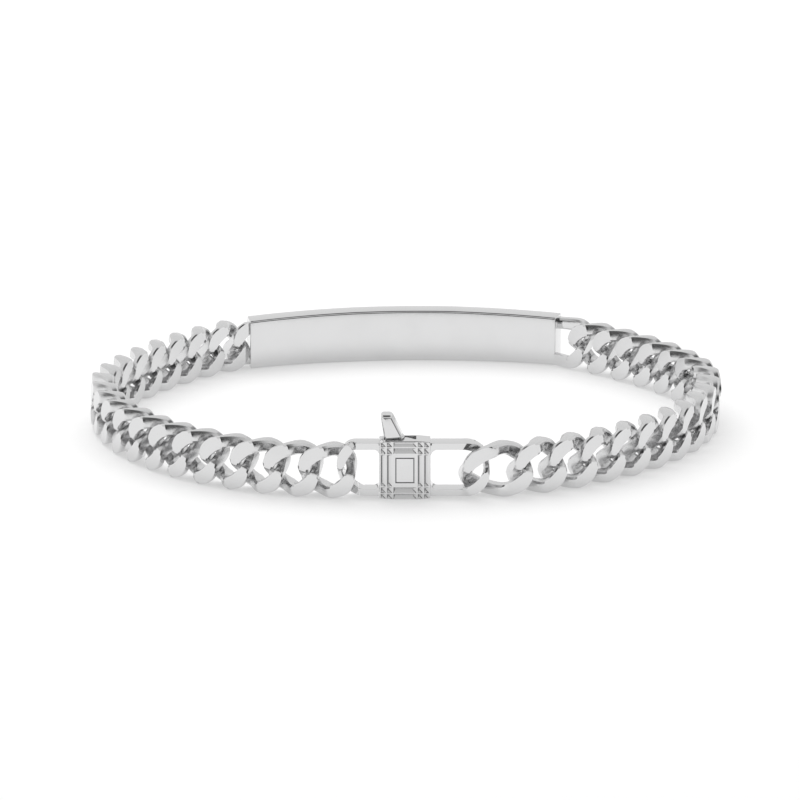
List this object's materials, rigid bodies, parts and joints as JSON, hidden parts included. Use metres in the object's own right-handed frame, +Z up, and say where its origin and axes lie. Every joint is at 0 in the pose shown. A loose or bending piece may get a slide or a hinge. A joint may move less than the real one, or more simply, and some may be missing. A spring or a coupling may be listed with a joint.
{
  "type": "id bracelet",
  "caption": "Polished silver identity bracelet standing on its edge: bowed bare name plate, curb chain on both sides and a ring clasp with a square block and a sprung lever.",
  "frame": {"origin": "on the resting surface, at the middle of the loop's bounding box", "axes": "+Z up along the wrist's axis, +X to the right and +Y from the clasp at the front to the plate at the back"},
  "size_m": [0.0685, 0.0573, 0.009],
  "materials": {
    "plate_silver": "polished silver, mirror-like with soft reflections",
    "chain_silver": "polished silver, ground flat faces and rounded edges",
    "clasp_silver": "polished silver with cut grooves on the front"
  },
  "bodies": {
    "bracelet": {"id_plate": "plate_silver", "clasp_body": "clasp_silver", "pivot_pin": "clasp_silver", "link_left_01": "chain_silver", "link_left_02": "chain_silver", "link_left_03": "chain_silver", "link_left_04": "chain_silver", "link_left_05": "chain_silver", "link_left_06": "chain_silver", "link_left_07": "chain_silver", "link_left_08": "chain_silver", "link_left_09": "chain_silver", "link_left_10": "chain_silver", "link_left_11": "chain_silver", "link_left_12": "chain_silver", "link_left_13": "chain_silver", "link_left_14": "chain_silver", "link_left_15": "chain_silver", "link_left_16": "chain_silver", "link_left_17": "chain_silver", "link_left_18": "chain_silver", "link_left_19": "chain_silver", "link_right_01": "chain_silver", "link_right_02": "chain_silver", "link_right_03": "chain_silver", "link_right_04": "chain_silver", "link_right_05": "chain_silver", "link_right_06": "chain_silver", "link_right_07": "chain_silver", "link_right_08": "chain_silver", "link_right_09": "chain_silver", "link_right_10": "chain_silver", "link_right_11": "chain_silver", "link_right_12": "chain_silver", "link_right_13": "chain_silver", "link_right_14": "chain_silver", "link_right_15": "chain_silver", "link_right_16": "chain_silver", "link_right_17": "chain_silver", "link_right_18": "chain_silver"},
    "lever": {"clasp_lever": "clasp_silver"}
  },
  "joints": [
    {"name": "lever_turn", "type": "hinge", "parent": "bracelet", "child": "lever", "pos_m": [-0.00023, -0.0273, 0.00174], "axis": [0, 1, 0], "range_deg": [0, 14], "stiffness_Nm_per_rad": 0.03, "springref_deg": -8.59}
  ]
}
